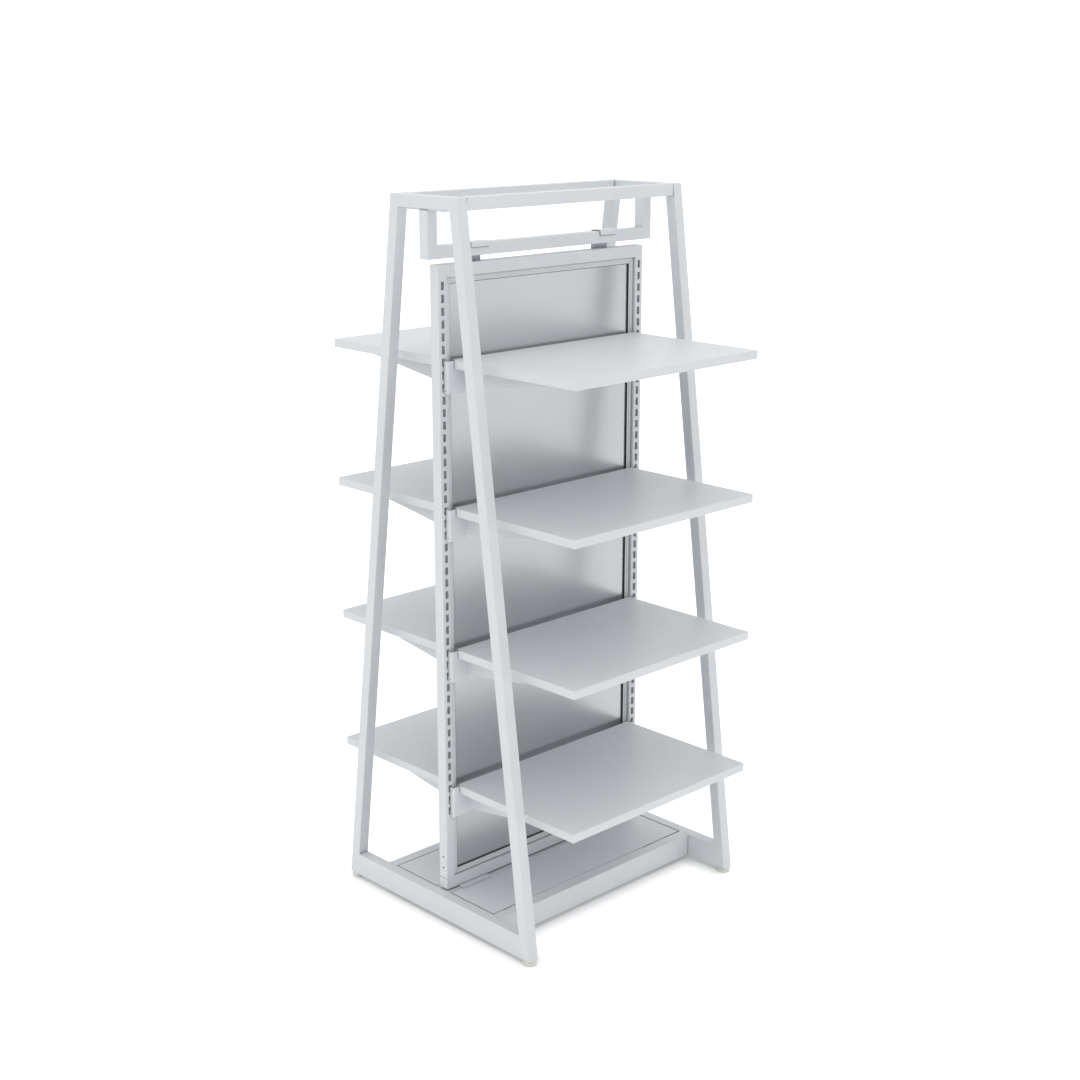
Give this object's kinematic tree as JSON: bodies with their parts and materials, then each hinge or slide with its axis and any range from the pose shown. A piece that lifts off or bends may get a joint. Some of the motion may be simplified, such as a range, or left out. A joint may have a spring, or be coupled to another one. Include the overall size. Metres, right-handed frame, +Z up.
{
  "type": "gondola shelving unit",
  "caption": "Double-sided A-frame shop gondola with a slotted centre panel, hook-on trays on both sides, a low plinth, a hanger bar and levelling feet.",
  "frame": {"origin": "on the floor under the middle of the unit", "axes": "+X along the trays, from the left end frame to the right one; -Y towards the front; +Z up"},
  "size_m": [0.633, 0.72, 1.515],
  "materials": {
    "frame_paint": "satin powder coat, cool light grey-white",
    "panel_face": "satin lacquer with blurred reflections",
    "seal_rubber": "matt black",
    "foot_nylon": "pale grey-ivory nylon",
    "plug_plastic": "black moulded plastic",
    "screw_steel": "zinc-plated",
    "black_oxide": "black oxide"
  },
  "bodies": {
    "frame": {"left_front_leg": "frame_paint", "left_rear_leg": "frame_paint", "left_top_rail": "frame_paint", "left_bottom_rail": "frame_paint", "right_front_leg": "frame_paint", "right_rear_leg": "frame_paint", "right_top_rail": "frame_paint", "right_bottom_rail": "frame_paint", "front_top_rail": "frame_paint", "rear_top_rail": "frame_paint", "left_hanger_post": "frame_paint", "right_hanger_post": "frame_paint", "hanger_flanges": "frame_paint", "hanger_bar": "frame_paint", "left_hook_clip": "frame_paint", "right_hook_clip": "frame_paint", "clip_liners": "seal_rubber", "clip_screws": "screw_steel", "left_upright": "frame_paint", "right_upright": "frame_paint", "panel_top_rail": "frame_paint", "panel_bottom_rail": "frame_paint", "rail_end_caps": "frame_paint", "upright_inserts": "screw_steel", "grub_screws": "black_oxide", "back_panel": "panel_face", "front_trim": "frame_paint", "rear_trim": "frame_paint", "front_seal": "seal_rubber", "rear_seal": "seal_rubber", "front_plinth_rail": "frame_paint", "rear_plinth_rail": "frame_paint", "plinth_middle_rail": "frame_paint", "deck_bearers": "frame_paint", "front_deck": "frame_paint", "rear_deck": "frame_paint", "foot_plates": "frame_paint", "plate_screws": "screw_steel", "leg_plugs": "plug_plastic"},
    "front_left_foot": {"front_left_foot": "foot_nylon"},
    "front_right_foot": {"front_right_foot": "foot_nylon"},
    "rear_left_foot": {"rear_left_foot": "foot_nylon"},
    "rear_right_foot": {"rear_right_foot": "foot_nylon"},
    "front_shelf_1": {"front_tray_1": "frame_paint", "front_brackets_1": "frame_paint"},
    "front_shelf_2": {"front_tray_2": "frame_paint", "front_brackets_2": "frame_paint"},
    "front_shelf_3": {"front_tray_3": "frame_paint", "front_brackets_3": "frame_paint"},
    "front_shelf_4": {"front_tray_4": "frame_paint", "front_brackets_4": "frame_paint"},
    "rear_shelf_1": {"rear_tray_1": "frame_paint", "rear_brackets_1": "frame_paint"},
    "rear_shelf_2": {"rear_tray_2": "frame_paint", "rear_brackets_2": "frame_paint"},
    "rear_shelf_3": {"rear_tray_3": "frame_paint", "rear_brackets_3": "frame_paint"},
    "rear_shelf_4": {"rear_tray_4": "frame_paint", "rear_brackets_4": "frame_paint"}
  },
  "joints": [
    {"name": "front_left_foot_screw", "type": "slide", "parent": "frame", "child": "front_left_foot", "axis": [0, 0, -1], "range_m": [0, 0.015]},
    {"name": "front_right_foot_screw", "type": "slide", "parent": "frame", "child": "front_right_foot", "axis": [0, 0, -1], "range_m": [0, 0.015]},
    {"name": "rear_left_foot_screw", "type": "slide", "parent": "frame", "child": "rear_left_foot", "axis": [0, 0, -1], "range_m": [0, 0.015]},
    {"name": "rear_right_foot_screw", "type": "slide", "parent": "frame", "child": "rear_right_foot", "axis": [0, 0, -1], "range_m": [0, 0.015]},
    {"name": "front_shelf_1_lift", "type": "slide", "parent": "frame", "child": "front_shelf_1", "axis": [0, 0, 1], "range_m": [0, 0.0075]},
    {"name": "front_shelf_2_lift", "type": "slide", "parent": "frame", "child": "front_shelf_2", "axis": [0, 0, 1], "range_m": [0, 0.0075]},
    {"name": "front_shelf_3_lift", "type": "slide", "parent": "frame", "child": "front_shelf_3", "axis": [0, 0, 1], "range_m": [0, 0.0075]},
    {"name": "front_shelf_4_lift", "type": "slide", "parent": "frame", "child": "front_shelf_4", "axis": [0, 0, 1], "range_m": [0, 0.0075]},
    {"name": "rear_shelf_1_lift", "type": "slide", "parent": "frame", "child": "rear_shelf_1", "axis": [0, 0, 1], "range_m": [0, 0.0075]},
    {"name": "rear_shelf_2_lift", "type": "slide", "parent": "frame", "child": "rear_shelf_2", "axis": [0, 0, 1], "range_m": [0, 0.0075]},
    {"name": "rear_shelf_3_lift", "type": "slide", "parent": "frame", "child": "rear_shelf_3", "axis": [0, 0, 1], "range_m": [0, 0.0075]},
    {"name": "rear_shelf_4_lift", "type": "slide", "parent": "frame", "child": "rear_shelf_4", "axis": [0, 0, 1], "range_m": [0, 0.0075]}
  ]
}
